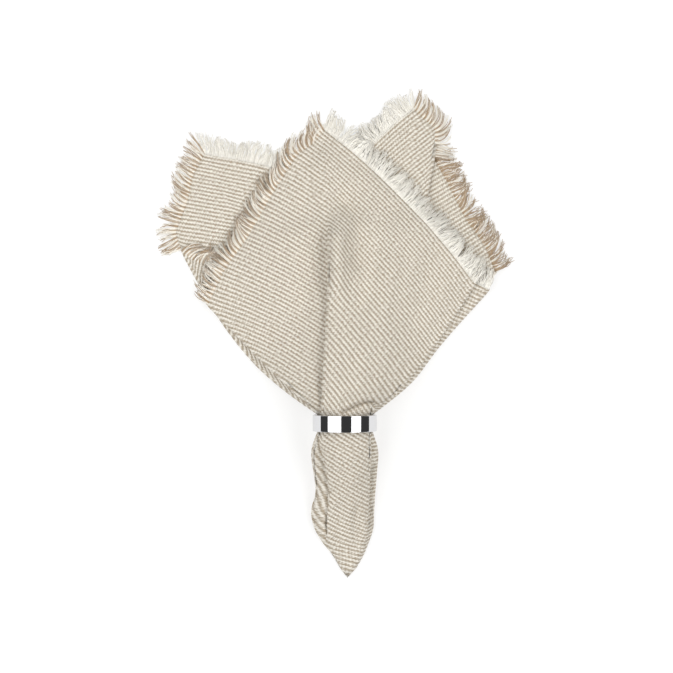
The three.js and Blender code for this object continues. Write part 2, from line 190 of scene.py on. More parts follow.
# Soft ridges and hollows along lines, from the whole stack and from the top layer alone.
STACK_FOLDS = [
    dict(line=[(-9.5, 66), (-10, 34)], width=8.5, rise=-8),
    dict(line=[(-10, 20), (-12, -30)], width=6, rise=-1.2),
    dict(line=[(-45, 62), (-26, -20)], width=20, rise=3),
    dict(line=[(4, 87), (10, 80), (14, 64), (13, 44)], width=5, rise=-5),
    dict(line=[(26, 60), (24, 0)], width=18, rise=3),
    # The bulge and the dip under it where the front is tucked into the ring at the right.
    dict(line=[(5, -49), (12, -44.8), (19, -42.6), (25, -42)], width=3, rise=2.5),
    dict(line=[(4.4, -53), (11.7, -49.2), (18, -47), (23, -47)], width=1.5, rise=-5.5),
]
TOP_FOLDS = [
    dict(line=[(-2, 62), (-1.5, 28)], width=7, rise=4),
    dict(line=[(-2, 60), (-1.5, 10), (-4, -36)], width=7, rise=3),
]
# Below the ring, where creases move over to their place in the tail and where the inner layers run out.
# Above it, where the pleat ends and how much cloth rolls down beside it.
TAIL_CLOSES = (14, 74)
TAIL_THINS = (60, 90)
PLEAT_FADES = (112, 128)
ROLLED = 3.2

# Rows of points along the fold lines, and how far apart columns of points stand at the cut edge.
TAIL_ROWS = 40
NECK_ROWS = 7
FAN_ROWS = 68
COLUMN_STEP = 3.2
COARSE_STEP = 7
FINE_LEVELS = (0, 1, 2, 7, 9, 11)
OUTLINE_STEPS = 12

# The part's own place: its origin is the middle of the footprint.
ring_low, ring_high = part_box("napkin_ring")
SHIFT_X = (ring_low.x + ring_high.x) / 2 / MM - RING["x"]
SHIFT_Y = (ring_low.y + ring_high.y) / 2 / MM - RING["y"]


def mix(a, b, share):
    """The value at a share of the way from one to another."""
    return a + (b - a) * share


def smooth(low, high, value):
    """A share that rises softly from 0 at the low value to 1 at the high one."""
    share = np.clip((value - low) / (high - low), 0, 1)
    return share * share * (3 - 2 * share)


def curve(stations, values, at):
    """A smooth curve through values at rising stations, read at the given places."""
    stations = np.asarray(stations, float)
    values = np.asarray(values, float).reshape(len(stations), -1)
    slopes = np.gradient(values, stations, axis=0)
    at = np.clip(np.asarray(at, float), stations[0], stations[-1])
    index = np.clip(np.searchsorted(stations, at, side="right") - 1, 0, len(stations) - 2)
    span = stations[index + 1] - stations[index]
    share = ((at - stations[index]) / span)[..., None]
    span = span[..., None]
    first = (1 + 2 * share) * (1 - share) ** 2 * values[index]
    first_slope = share * (1 - share) ** 2 * span * slopes[index]
    last = share**2 * (3 - 2 * share) * values[index + 1]
    last_slope = share**2 * (share - 1) * span * slopes[index + 1]
    return first + first_slope + last + last_slope


def tail_at(below):
    """Left, right, height and lift of the tail at distances below the ring's middle."""
    stations = [row["below"] for row in TAIL]
    values = [[row["left"], row["right"], row["height"], row["lift"]] for row in TAIL]
    return np.moveaxis(curve(stations, values, below), -1, 0)


class Rows:
    """Rows of points from the tip of the tail through the ring to the cut edge."""

    def __init__(self, tail, neck, fan):
        self.below = np.linspace(TAIL[-1]["below"], TAIL[0]["below"], tail, endpoint=False)
        self.neck = np.linspace(RING["y"] - NECK_HALF_LENGTH, NECK_Y, neck)
        self.share = np.linspace(0, 1, fan + 1)[1:] ** 1.35
        self.bow = np.concatenate([np.zeros(tail + neck), self.share**2])

    def plan(self, line):
        """Where a line runs in plan."""
        left, right, _, _ = tail_at(self.below)
        wall = 0.93 if line in ("band_inner", "band_right", "front_right") else -0.93
        side = LINES[line]["side"]
        own_side = -1 if side == "left" else 1
        ring = LINES[line]["ring"]
        is_inner = side != "corner" and own_side != np.sign(wall)
        target = wall - 0.06 * np.sign(wall) if is_inner else ring / BUNDLE_RADIUS
        target = LINES[line].get("tail", target)
        across = mix(ring / BUNDLE_RADIUS, target, smooth(*TAIL_CLOSES, self.below))
        if line in TAIL_SHARES:
            across = curve(*zip(*TAIL_SHARES[line]), self.below)[:, 0]
        tail_x = RING["x"] + (left + right) / 2 + (right - left) / 2 * across
        tail = np.stack([tail_x, RING["y"] - self.below], 1)
        neck = np.stack([np.full_like(self.neck, RING["x"] + ring), self.neck], 1)
        start = (RING["x"] + ring, NECK_Y)
        fan = self.along(start, LINES[line].get("ways", []), LINES[line]["edge"])
        return np.concatenate([tail, neck, fan])

    def flat(self, line):
        """The same line on the woven square."""
        edge = LINES[line]["flat"]
        angle = math.radians(LINES[line].get("angle") or math.degrees(math.atan2(edge[1], edge[0])))
        below = np.concatenate([self.below, RING["y"] - self.neck])
        turned = TAIL_ANGLES.get(line, [(0, math.degrees(angle)), (TIP["below"], math.degrees(angle))])
        directions = np.radians(curve(*zip(*turned), below)[:, 0])
        tail_way = np.stack([np.cos(directions), np.sin(directions)], 1)
        way = np.array([math.cos(angle), math.sin(angle)])
        radius = np.where(
            below > 0, RING_FLAT_RADIUS * (1 - below / TIP["below"]), RING_FLAT_RADIUS - below
        )
        start = (RING_FLAT_RADIUS + NECK_HALF_LENGTH) * way
        flat_way = LINES[line].get("flat_way")
        bend = [(LINES[line]["ways"][-1][0], *flat_way)] if flat_way else []
        return np.concatenate([radius[:, None] * tail_way, self.along(start, bend, edge)])

    def along(self, start, ways, end):
        """A line from the ring to the cut edge through its ways."""
        stations = [0, *(way[0] for way in ways), 1]
        return curve(stations, [start, *(way[1:] for way in ways), end], self.share)


def cut_edge(a, b, share):
    """Points of the cut edge between two lines, at shares of its length."""
    points = np.array([LINES[a]["edge"], *CUT_WAYS.get((a, b), []), LINES[b]["edge"]], float)
    reach = np.concatenate([[0], np.cumsum(np.hypot(*np.diff(points, axis=0).T))])
    return curve(reach / reach[-1], points, share)


def outline(layer, fringe):
    """The outline of a pass in plan, drawn out at the cut edge by the length of a fringe."""
    rows = Rows(9, 2, 12)
    lines = layer["lines"]
    cut = np.concatenate([
        cut_edge(a, b, np.linspace(0, 1, OUTLINE_STEPS)) for a, b in zip(lines, lines[1:])
    ])
    ring = np.array([RING["x"], RING["y"]])
    away = cut - ring
    cut = ring + away * (1 + fringe / np.hypot(*away.T))[:, None]
    return np.concatenate([rows.plan(lines[0]), cut, rows.plan(lines[-1])[::-1]])


def distance_outside(points, x, y):
    """Distance from places to a closed outline, 0 inside it."""
    inside = np.zeros(x.shape, bool)
    best = np.full(x.shape, np.inf)
    for (ax, ay), (bx, by) in zip(points, np.roll(points, -1, 0)):
        if ay != by:
            crossing = ax + (y - ay) * (bx - ax) / (by - ay)
            inside ^= ((ay > y) != (by > y)) & (x < crossing)
        length = (bx - ax) ** 2 + (by - ay) ** 2 or 1
        share = np.clip(((x - ax) * (bx - ax) + (y - ay) * (by - ay)) / length, 0, 1)
        best = np.minimum(best, np.hypot(x - mix(ax, bx, share), y - mix(ay, by, share)))
    return np.where(inside, 0, best)


OUTLINES = {layer["name"]: outline(layer, FRINGE_LENGTH + 1) for layer in PASSES}
WOVEN_OUTLINES = {layer["name"]: outline(layer, 0) for layer in PASSES}


def stack_at(x, y):
    """How much of each pass lies at each place, by its level."""
    reach = np.hypot(x - RING["x"], np.maximum(0, y - NECK_Y))
    sag = mix(3, LAYER_SAG, smooth(10, 60, reach))
    below = RING["y"] - y
    stack = np.zeros((len(PASSES), *x.shape))
    for layer in PASSES:
        share = 1 - smooth(1.2, 1.2 + sag, distance_outside(OUTLINES[layer["name"]], x, y))
        if layer["name"] not in ("front_right", "base"):
            share *= 1 - 0.97 * smooth(*TAIL_THINS, below)
        if layer["level"] in (1, 2):
            share *= 1 - smooth(*PLEAT_FADES, reach)
        stack[layer["level"]] = share
    return stack


def distance_to(points, x, y):
    """Distance from places to an open line of points."""
    best = np.full(x.shape, np.inf)
    for (ax, ay), (bx, by) in zip(points, points[1:]):
        length = (bx - ax) ** 2 + (by - ay) ** 2
        share = np.clip(((x - ax) * (bx - ax) + (y - ay) * (by - ay)) / length, 0, 1)
        best = np.minimum(best, np.hypot(x - mix(ax, bx, share), y - mix(ay, by, share)))
    return best


def relief(folds, x, y):
    """Sum of soft ridges and hollows along lines."""
    total = np.zeros(x.shape)
    for fold in folds:
        total += fold["rise"] * np.exp(-((distance_to(fold["line"], x, y) / fold["width"]) ** 2))
    return total


def heights(x, y):
    """A function that gives the height of the middle of a level at these places."""
    stack = stack_at(x, y)
    total = stack.sum(0)
    below = RING["y"] - y
    in_tail = below > NECK_HALF_LENGTH
    left, right, height, lift = tail_at(np.maximum(below, NECK_HALF_LENGTH))
    half = (right - left) / 2 + 1.12 * np.maximum(0, y - NECK_Y)
    across = np.clip((x - RING["x"] - (left + right) / 2) / half, -0.98, 0.98)
    arc = np.sqrt(1 - across**2)
    reach = np.hypot(x - RING["x"], np.maximum(0, y - NECK_Y))
    rounded = np.where(in_tail, 1, 1 - smooth(0, FLATTEN_LENGTH, reach))
    tall = height * arc
    floor = lift + height / 2 * (1 - arc) * np.where(in_tail, smooth(40, 7, below), 1)
    low = mix(CLOTH_THICKNESS / 2, floor, rounded)
    swell = relief(STACK_FOLDS, x, y)
    crest = relief(TOP_FOLDS, x, y)

    def height_of(level):
        under = stack[level + 1 :].sum(0)
        layers = np.maximum(total, under + 0.5)
        thick = mix(LAYER_PITCH * layers, tall, rounded) + swell
        return low + thick * (under + 0.5 * rounded) / layers + (crest if level == 0 else 0)

    return height_of


def mesh_object(name, points, faces, uv_name, uv):
    """A mesh on the part's root body, with one pair of pattern coordinates for each point."""
    mesh = bpy.data.meshes.new(name)
    placed = (points + np.array([SHIFT_X, SHIFT_Y, 0])) * MM
    mesh.from_pydata(placed.tolist(), [], faces.tolist())
    layer = mesh.uv_layers.new(name=uv_name)
    corners = np.zeros(len(mesh.loops), int)
    mesh.loops.foreach_get("vertex_index", corners)
    layer.uv.foreach_set("vector", uv[corners].astype(np.float32).ravel())
    mesh.polygons.foreach_set("use_smooth", np.ones(len(mesh.polygons), bool))
    obj = bpy.data.objects.new(name, mesh)
    bpy.context.scene.collection.objects.link(obj)
    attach(obj, "root")
    return obj


def sheet_columns():
    """The columns of points of the sheet, walking once round it."""
    columns = []
    for index, layer in enumerate(PASSES):
        lines = layer["lines"]
        spans = list(zip(lines, lines[1:]))
        columns.append(dict(level=layer["level"], a=lines[0], b=lines[1], share=0, bend=1))
        for number, (a, b) in enumerate(spans):
            length = math.dist(LINES[a]["edge"], LINES[b]["edge"])
            step_size = COLUMN_STEP if layer["level"] in FINE_LEVELS else COARSE_STEP
            count = max(2, round(length / step_size))
            last = count + (number == len(spans) - 1)
            for step in range(1, count + 1):
                columns.append(dict(level=layer["level"], a=a, b=b, share=step / last, bend=0))
        columns.append(dict(level=layer["level"], a=lines[-2], b=lines[-1], share=1, bend=-1))
        onward = PASSES[(index + 1) % len(PASSES)]
        gap = abs(onward["level"] - layer["level"])
        steps = 5 if gap > 1 else 3
        for step in range(1, steps + 1):
            columns.append(dict(level=layer["level"], onto=onward["level"], a=lines[-1],
                                turn=step / (steps + 1), gap=gap))
    return columns


def make_cloth():
    """One closed sheet: an upper and a lower face, the cut edge and the tip."""
    rows = Rows(TAIL_ROWS, NECK_ROWS, FAN_ROWS)
    plan = {line: rows.plan(line) for line in LINES}
    flat = {line: rows.flat(line) for line in LINES}
    columns = sheet_columns()
    places, pattern = [], []
    for column in columns:
        if "turn" in column:
            places.append(plan[column["a"]])
            pattern.append(flat[column["a"]])
            continue
        a, b = plan[column["a"]], plan[column["b"]]
        width = np.maximum(np.hypot(*(b - a).T), 0.01)
        bend = np.minimum(FOLD_BEND / width, 0.3) * column["bend"]
        share = np.clip(column["share"] + bend, 0, 1)[:, None]
        edge = cut_edge(column["a"], column["b"], np.array([column["share"]]))[0]
        straight = mix(a[-1], b[-1], column["share"])
        places.append(mix(a, b, share) + rows.bow[:, None] * (edge - straight))
        pattern.append(mix(flat[column["a"]], flat[column["b"]], share))
    places = np.stack(places, 1)
    pattern = np.stack(pattern, 1)
    height_of = heights(places[..., 0], places[..., 1])
    levels = {layer["level"]: height_of(layer["level"]) for layer in PASSES}
    z = np.zeros(places.shape[:2])
    for index, column in enumerate(columns):
        z[:, index] = levels[column["level"]][:, index]
        if "turn" in column:
            onto = levels[column["onto"]][:, index]
            out = -1 if LINES[column["a"]]["side"] == "left" else 1
            bulge = np.minimum(np.abs(z[:, index] - onto) / 2, WIDEST_FOLD)
            bulge[: TAIL_ROWS + NECK_ROWS] *= PRESSED_FOLD
            places[:, index, 0] += out * bulge * math.sin(math.pi * column["turn"])
            z[:, index] = mix(z[:, index], onto, (1 - math.cos(math.pi * column["turn"])) / 2)
    # Cloth that rolls down into the hollow beside the pleat looks shorter from above.
    beside = places[..., 0] - plan["pleat_top"][:, 0][:, None]
    roll = ROLLED * np.exp(-((beside / 10) ** 2)) * smooth(16, 40, places[..., 1])
    roll = roll * (1 - smooth(62, 78, places[..., 1]))
    on_top = np.array([column["level"] < 2 for column in columns])
    pattern[..., 0] -= roll * on_top
    middle = np.concatenate([places, z[..., None]], 2)
    # Above its end the pleat has run out, so its columns spread into one smooth surface.
    start = next(i for i, column in enumerate(columns) if column["level"] == 1) - 5
    stop = next(i for i, column in enumerate(columns) if column["level"] == 2) + 1
    reach = np.hypot(*(plan["pleat_top"] - [RING["x"], NECK_Y]).T)
    fades = (smooth(*PLEAT_FADES, reach) * (plan["pleat_top"][:, 1] > NECK_Y))[:, None]
    first = [middle[:, start].copy(), pattern[:, start].copy()]
    last = [middle[:, stop].copy(), pattern[:, stop].copy()]
    for index in range(start + 1, stop):
        share = (index - start) / (stop - start)
        for points, low, high in zip((middle, pattern), first, last):
            points[:, index] = mix(points[:, index], mix(low, high, share), fades)
    tip = np.array([RING["x"] + TIP["x"], RING["y"] - TIP["below"], TIP["z"]])
    across = np.roll(middle, -1, 1) - np.roll(middle, 1, 1)
    before = np.concatenate([np.broadcast_to(tip, (1, *middle.shape[1:])), middle[:-1]])
    after = np.concatenate([middle[1:], middle[-1:]])
    normal = np.cross(across, after - before)
    normal /= np.maximum(np.linalg.norm(normal, axis=2, keepdims=True), 1e-9)
    # The last threads before the fringe lie looser, so the cloth thins towards its cut edge.
    edge_share = np.concatenate([np.zeros(TAIL_ROWS + NECK_ROWS), rows.share])
    half = CLOTH_THICKNESS / 2 * (1 - 0.75 * smooth(0.97, 1, edge_share))[:, None, None]
    faces_of = [middle - half * normal, middle + half * normal]
    count_rows, count = middle.shape[:2]
    size = count_rows * count
    points = np.concatenate([face.reshape(-1, 3) for face in faces_of])
    inset = np.array([0, CLOTH_THICKNESS / 2, 0])
    points = np.concatenate([points, [tip - inset], [tip + inset]])
    points[:, 2] = np.maximum(points[:, 2], 0)
    row, column = np.meshgrid(np.arange(count_rows - 1), np.arange(count), indexing="ij")
    onward = (column + 1) % count
    a, b = row * count + column, (row + 1) * count + column
    c, d = (row + 1) * count + onward, row * count + onward
    outer = np.stack([a, b, c, d], -1).reshape(-1, 4)
    inner = np.stack([d, c, b, a], -1).reshape(-1, 4) + size
    edge = np.arange(count) + (count_rows - 1) * count
    edge_on = (np.arange(count) + 1) % count + (count_rows - 1) * count
    rim = np.stack([edge, edge + size, edge_on + size, edge_on], -1)
    first = np.arange(count)
    first_on = (first + 1) % count
    ends = [[2 * size, i, j] for i, j in zip(first, first_on)]
    ends += [[2 * size + 1, size + j, size + i] for i, j in zip(first, first_on)]
    faces = np.concatenate([outer, inner, rim]).tolist() + ends
    uv = np.concatenate([pattern.reshape(-1, 2)] * 2 + [np.zeros((2, 2))]) * MM
    return mesh_object("cloth", points, np.array(faces, object), "weave", uv)


# Fringe yarns: how far apart they leave the cut edge, their radius and length, how wide a lock of them
# is and how much it closes to a tip, how far it leans and bends over along the edge, its waves, and how
# far it droops on what lies under it. Across the stripes also its darkest tone and extra beige yarns.
# On the low curly fringe the darker tone and the extra beige yarns are partly the yarn's own beige and
# partly painted shade.
STRIPE_PITCH = 2.58
PLAIN_YARN = dict(step=0.22, radius=0.32, length=15, lock=2.6, close=0.16, lean=0.14, bend=(0.04, 0.04),
                  bend_spread=0.16, wave=0.09, droop=0.15)
MIXED_YARN = dict(step=0.27, radius=0.36, length=15, lock=STRIPE_PITCH / 2, close=0.24, lean=0.13,
                  bend=(0.2, 0.2), bend_spread=0.2, wave=0.05, droop=0.3, darkest=0.12, more_beige_and_shade=0)
# The low curly fringe has darker beige tones and extra beige yarns: partly its own beige, partly painted
# shade.
CURLY_SHADED_YARN = dict(step=0.27, radius=0.32, length=15.5, lock=STRIPE_PITCH / 2, close=0.3, lean=0.22,
                  bend=(0.15, 0.15), bend_spread=0.3, wave=0.12, droop=0.7, darkest=-0.05, more_beige_and_shade=0.4)
# How far the yarns bend over towards +Y at both ends of some stretches.
BENDS = {"front_left": (0.8, 0.05), "left_flap": (0.1, 0.15), "left_turn": (0.6, -0.6),
         "right_flap": (0.1, 1), "front_right": (0.2, 0.2), "pleat": (0.4, 0.4)}
# Layers whose fringe curls and lies low; their yarns are darkened, partly as painted shade.
CURLY_LAYERS = ("right_low", "low_back")
YARN_POINTS = 7
YARN_ROOT = 0.8
LOCK_SIZES = (0.78, 1.08)
YARN_SIZES = (0.78, 1.04)
# A yarn leaves at right angles to the cut edge, taken over this length to both sides.
EDGE_REACH = 5
CORNER_FAN = 0.45
CORNER_REACH = 6


def slow_wander(at, spacing, spread):
    """Random values that change smoothly along an edge."""
    stations = np.arange(-spacing, at.max() + 2 * spacing, spacing)
    return curve(stations, rng.normal(0, spread, len(stations)), at)[:, 0]


def yarns_along(layer, a, b, kind):
    """Paths, radii and tones of the yarns that leave one stretch of cut edge."""
    yarn = PLAIN_YARN if kind == "plain" else MIXED_YARN
    if layer["name"] in CURLY_LAYERS:
        yarn = CURLY_SHADED_YARN
    share = np.linspace(0, 1, 200)
    line = cut_edge(a, b, share)
    reach = np.concatenate([[0], np.cumsum(np.hypot(*np.diff(line, axis=0).T))])
    length = reach[-1]
    count = max(2, int(length / yarn["step"]))
    at = (np.arange(count) + 0.5 + rng.uniform(-0.4, 0.4, count)) * length / count
    base = curve(reach, line, at)
    ahead = curve(reach, line, np.minimum(at + EDGE_REACH, length))
    tangent = ahead - curve(reach, line, np.maximum(at - EDGE_REACH, 0))
    tangent /= np.hypot(*tangent.T)[:, None]
    outward = np.stack([tangent[:, 1], -tangent[:, 0]], 1)
    ring = np.array([RING["x"], RING["y"]])
    if ((base - ring) * outward).sum(1).mean() < 0:
        outward = -outward
    up = np.where(tangent[:, 1] < 0, -1, 1)
    # Across the stripes a lock of yarns leaves each stripe, so the locks follow the woven pattern.
    woven = at
    if kind == "mixed":
        woven = mix(LINES[a]["flat"][0], LINES[b]["flat"][0], np.interp(at, reach, share))
    number = np.floor(woven / yarn["lock"]).astype(int)
    lock = number - number.min()
    locks = lock.max() + 1
    stretch = (at[-1] - at[0]) / (woven[-1] - woven[0]) / yarn["length"]
    to_middle = ((number + 0.5) * yarn["lock"] - woven) * stretch
    lock_lean = slow_wander(at, 7, yarn["lean"]) + rng.normal(0, 0.4 * yarn["lean"], locks)[lock]
    lock_lean = lock_lean + rng.normal(0, 0.05, count)
    bends = BENDS.get(layer["name"], yarn["bend"]) if kind == "mixed" else yarn["bend"]
    lock_bend = mix(*bends, at / length) + slow_wander(at, 9, yarn["bend_spread"])
    lock_bend = lock_bend + rng.normal(0, 0.4 * yarn["bend_spread"], locks)[lock]
    lock_size = rng.uniform(*LOCK_SIZES, locks)[lock]
    size = yarn["length"] * lock_size * rng.uniform(*YARN_SIZES, count)
    corner = np.zeros(count)
    for name, distance, sign in ((a, at, -1), (b, length - at, 1)):
        if LINES[name]["side"] == "corner":
            corner += sign * CORNER_FAN * np.exp(-distance / CORNER_REACH)
    s = np.linspace(0, 1, YARN_POINTS)[None, :]
    phase = rng.uniform(0, 2 * math.pi, count)[:, None]
    side = (to_middle * yarn["close"] + lock_lean + corner)[:, None] * s
    side = side + yarn["wave"] * np.sin(phase + s * 5) * s
    side = side + (lock_bend * up)[:, None] * 0.8 * s**2.2
    out = s - 0.25 * np.abs(lock_bend)[:, None] * s**3
    path = base[:, None] - YARN_ROOT * outward[:, None]
    path = path + size[:, None, None] * (
        out[..., None] * outward[:, None] + side[..., None] * tangent[:, None]
    )
    x, y = path[..., 0], path[..., 1]
    lift = 0.1 + rng.uniform(0, 0.9, count)[:, None] * np.sin(s * 2.8)
    height_of = heights(x, y)
    ground = np.zeros(x.shape)
    for other in PASSES:
        if other["level"] > layer["level"]:
            covered = distance_outside(WOVEN_OUTLINES[other["name"]], x, y) == 0
            under = height_of(other["level"]) + CLOTH_THICKNESS / 2 + yarn["radius"]
            ground = np.where(covered, np.maximum(ground, under), ground)
    z = np.maximum(mix(height_of(layer["level"]), ground, yarn["droop"] * s**2), ground) + lift
    z = np.maximum(z, yarn["radius"] + 0.05)
    radius = yarn["radius"] * mix(1.05, 0.55, s**2) * np.ones((count, 1))
    tone = rng.uniform(0.3, 1, count)
    if kind == "mixed":
        beige = number % 2 == 1
        # Extra beige yarns and a darker lowest tone on the low curly fringe are partly painted shade.
        if yarn["more_beige_and_shade"]:
            beige |= rng.random(count) < yarn["more_beige_and_shade"]
        darkest = yarn["darkest"]
        tone = np.where(beige, rng.uniform(darkest, darkest + 0.3, count), rng.uniform(0.75, 1, count))
    return np.stack([x, y, z], -1), radius, tone


def make_fringe(name, stretches, kind):
    """The yarns of some stretches of cut edge as one mesh of fine three-sided tubes."""
    parts = [yarns_along(layer, a, b, kind) for layer, a, b in stretches]
    return yarn_mesh(name, *(np.concatenate(part) for part in zip(*parts)))


def yarn_mesh(name, path, radius, tone):
    """Fine three-sided tubes along paths, with the tone and the length along the yarn as pattern."""
    along = np.gradient(path, axis=1)
    along /= np.linalg.norm(along, axis=2, keepdims=True)
    side = np.cross(along, [0, 0, 1.0])
    side /= np.maximum(np.linalg.norm(side, axis=2, keepdims=True), 1e-9)
    rise = np.cross(side, along)
    count, stations = path.shape[:2]
    ring = []
    for corner in range(3):
        angle = math.radians(90 + 120 * corner)
        ring.append(path + radius[..., None] * (math.cos(angle) * side + math.sin(angle) * rise))
    points = np.stack(ring, 2).reshape(-1, 3)
    first = (np.arange(count) * stations * 3)[:, None, None]
    station = (np.arange(stations - 1) * 3)[None, :, None]
    corner = np.arange(3)[None, None, :]
    a = first + station + corner
    b = first + station + (corner + 1) % 3
    sides = np.stack([a, b, b + 3, a + 3], -1).reshape(-1, 4).tolist()
    start = np.arange(count) * stations * 3
    end = start + (stations - 1) * 3
    caps = np.concatenate([
        np.stack([start + 2, start + 1, start], -1), np.stack([end, end + 1, end + 2], -1)
    ]).tolist()
    faces = np.array(sides + caps, object)
    step = np.linalg.norm(np.diff(path, axis=1), axis=2)
    reach = np.concatenate([np.zeros((count, 1)), np.cumsum(step, 1)], 1) * MM
    uv = np.stack([np.repeat(tone, stations * 3), np.repeat(reach.ravel(), 3)], 1)
    return mesh_object(name, points, faces, "yarn", uv)


def make_ring():
    """The band: a thin wall with rounded edges, turned about the bundle's axis."""
    half, outer = RING["width"] / 2, RING["outer"]
    inner, ease = outer - RING["wall"], RING["edge_round"]
    profile = [(inner, -half + ease), (inner, half - ease)]
    support = 0.15
    for centre_r, centre_y, start in (
        (inner + ease, half - ease, 180), (outer - ease, half - ease, 90),
        (outer - ease, ease - half, 0), (inner + ease, ease - half, -90),
    ):
        for step in range(1, 5):
            angle = math.radians(start - 90 * step / 4)
            profile.append((centre_r + ease * math.cos(angle), centre_y + ease * math.sin(angle)))
        if start == 90:
            profile += [(outer, half - ease - support), (outer, ease + support - half)]
    profile = profile[:-1]
    turns = 160
    angles = np.arange(turns) * 2 * math.pi / turns
    points = np.array([
        (RING["x"] + r * math.cos(angle), RING["y"] + y, outer + r * math.sin(angle))
        for angle in angles for r, y in profile
    ])
    count = len(profile)
    faces = [
        (i * count + j, i * count + (j + 1) % count,
         (i + 1) % turns * count + (j + 1) % count, (i + 1) % turns * count + j)
        for i in range(turns) for j in range(count)
    ]
    uv = np.array([(angle * outer * MM, y * MM) for angle in angles for _, y in profile])
    band = mesh_object("band_ring", points, np.array(faces), "band", uv)
    work = bmesh.new()
    work.from_mesh(band.data)
    bmesh.ops.recalc_face_normals(work, faces=work.faces)
    work.to_mesh(band.data)
    work.free()
    return band


def linear(hex_colour):
    """An sRGB hex colour as linear red, green, blue and alpha."""
    channels = [int(hex_colour[i : i + 2], 16) / 255 for i in (1, 3, 5)]
    return [c / 12.92 if c <= 0.04045 else ((c + 0.055) / 1.055) ** 2.4 for c in channels] + [1]


def add(tree, kind, settings=None, links=None):
    """Adds a node with its settings and links. In links a node stands for its first output."""
    node = tree.nodes.new(kind)
    for key, value in (settings or {}).items():
        if key == "stops":
            for element, (place, colour) in zip(node.color_ramp.elements, value):
                element.position = place
                element.color = colour
        elif isinstance(key, str) and hasattr(node, key):
            setattr(node, key, value)
        else:
            node.inputs[key].default_value = value
    for key, source in (links or {}).items():
        socket = source.outputs[0] if isinstance(source, bpy.types.Node) else source
        tree.links.new(socket, node.inputs[key])
    return node


def new_material(name):
    """An empty material with its shader."""
    material = bpy.data.materials.new(name)
    material.use_nodes = True
    tree = material.node_tree
    tree.nodes.clear()
    shader = add(tree, "ShaderNodeBsdfPrincipled")
    add(tree, "ShaderNodeOutputMaterial", None, {"Surface": shader})
    return material, tree, shader


CREAM = "#EBE6DB"
BEIGE = "#A99B87"
YARN_CREAM = "#F4EFE4"
YARN_BEIGE = "#B0987B"
PLAIN_YARN_DARK = "#D9D4C8"
PLAIN_YARN_LIGHT = "#FBF8F0"
TABLE_GREY = "#A9A9A8"
STEEL = "#DADADC"
# One stitch along a cord, how many stitches it slants over a stripe, and one twist of a yarn's strands.
STITCH_LENGTH = 2.1
STITCH_SLANT = 0.75
STRAND_TWIST = 1.1


def cotton_twill():
    """Cotton in cream and beige cords: it scatters light softly, and the slanted stitches of the twill
    break each stripe into short uneven dashes with fine shadows between the cords."""
    material, tree, shader = new_material("striped cotton twill")
    weave = add(tree, "ShaderNodeUVMap", {"uv_map": "weave"})
    split = add(tree, "ShaderNodeSeparateXYZ", None, {0: weave})

    # Stripes are counted across the cords, and stitches along them on a slant.
    cords_each_metre = 1 / (STRIPE_PITCH * MM)
    stitches_each_metre = 1 / (STITCH_LENGTH * MM)
    cord = add(tree, "ShaderNodeMath", {"operation": "MULTIPLY", 1: cords_each_metre}, {0: split})
    stitch_row = add(tree, "ShaderNodeMath", {"operation": "MULTIPLY", 1: stitches_each_metre},
                     {0: split.outputs[1]})
    slant = add(tree, "ShaderNodeMath", {"operation": "MULTIPLY_ADD", 1: STITCH_SLANT},
                {0: cord, 2: stitch_row})
    turned = add(tree, "ShaderNodeMath", {"operation": "MULTIPLY", 1: 2 * math.pi}, {0: slant})
    twist = add(tree, "ShaderNodeMath", {"operation": "SINE"}, {0: turned})

    # Three kinds of unevenness: each stitch, the wander of whole cords, and single fibres.
    yarn_row = add(tree, "ShaderNodeMath", {"operation": "MULTIPLY", 1: 2}, {0: cord})
    cell = add(tree, "ShaderNodeCombineXYZ", None, {0: yarn_row, 1: slant})
    noises = [(cell, 1, 1), (weave, 70, 2), (weave, 1600, 3)]
    stitch, wander, fibre = [
        add(tree, "ShaderNodeTexNoise", {"Scale": scale, "Detail": detail}, {"Vector": place})
        for place, scale, detail in noises
    ]
    uneven, wandering, fuzzy = [
        add(tree, "ShaderNodeMath", {"operation": "ADD", 1: -0.5}, {0: noise})
        for noise in (stitch, wander, fibre)
    ]

    # The colour wave of the stripes, moved sideways a little by the stitches.
    shifted = cord
    for share, part in ((0.08, twist), (0.4, uneven), (0.3, wandering)):
        shifted = add(tree, "ShaderNodeMath", {"operation": "MULTIPLY_ADD", 1: share},
                      {0: part, 2: shifted})
    phase = add(tree, "ShaderNodeMath", {"operation": "MULTIPLY", 1: 2 * math.pi}, {0: shifted})
    wave = add(tree, "ShaderNodeMath", {"operation": "SINE"}, {0: phase})
    blend = add(tree, "ShaderNodeMath", {"operation": "MULTIPLY_ADD", 1: 0.4, 2: 0.5}, {0: wave})
    for share, part in ((1.1, uneven), (0.5, fuzzy)):
        blend = add(tree, "ShaderNodeMath", {"operation": "MULTIPLY_ADD", 1: share}, {0: part, 2: blend})
    stops = [(0.12, linear(BEIGE)), (0.88, linear(CREAM))]
    colour = add(tree, "ShaderNodeValToRGB", {"stops": stops}, {0: blend})
    tree.links.new(colour.outputs[0], shader.inputs["Base Color"])

    # Cords, stitches and fibres stand up from the cloth.
    ribs = add(tree, "ShaderNodeMath", {"operation": "ABSOLUTE"}, {0: wave})
    rise = add(tree, "ShaderNodeMath", {"operation": "MULTIPLY", 1: 0.6}, {0: ribs})
    for share, part in ((0.25, twist), (1.2, uneven), (0.4, fibre)):
        rise = add(tree, "ShaderNodeMath", {"operation": "MULTIPLY_ADD", 1: share}, {0: part, 2: rise})
    bump = add(tree, "ShaderNodeBump", {"Strength": 0.65, "Distance": 0.5 * MM}, {"Height": rise})
    tree.links.new(bump.outputs[0], shader.inputs["Normal"])
    rough = add(tree, "ShaderNodeMapRange", {"To Min": 0.82, "To Max": 0.98}, {"Value": fibre})
    tree.links.new(rough.outputs[0], shader.inputs["Roughness"])
    shader.inputs["Sheen Weight"].default_value = 0.15
    shader.inputs["Sheen Roughness"].default_value = 0.5
    shader.inputs["IOR"].default_value = 1.5
    return material


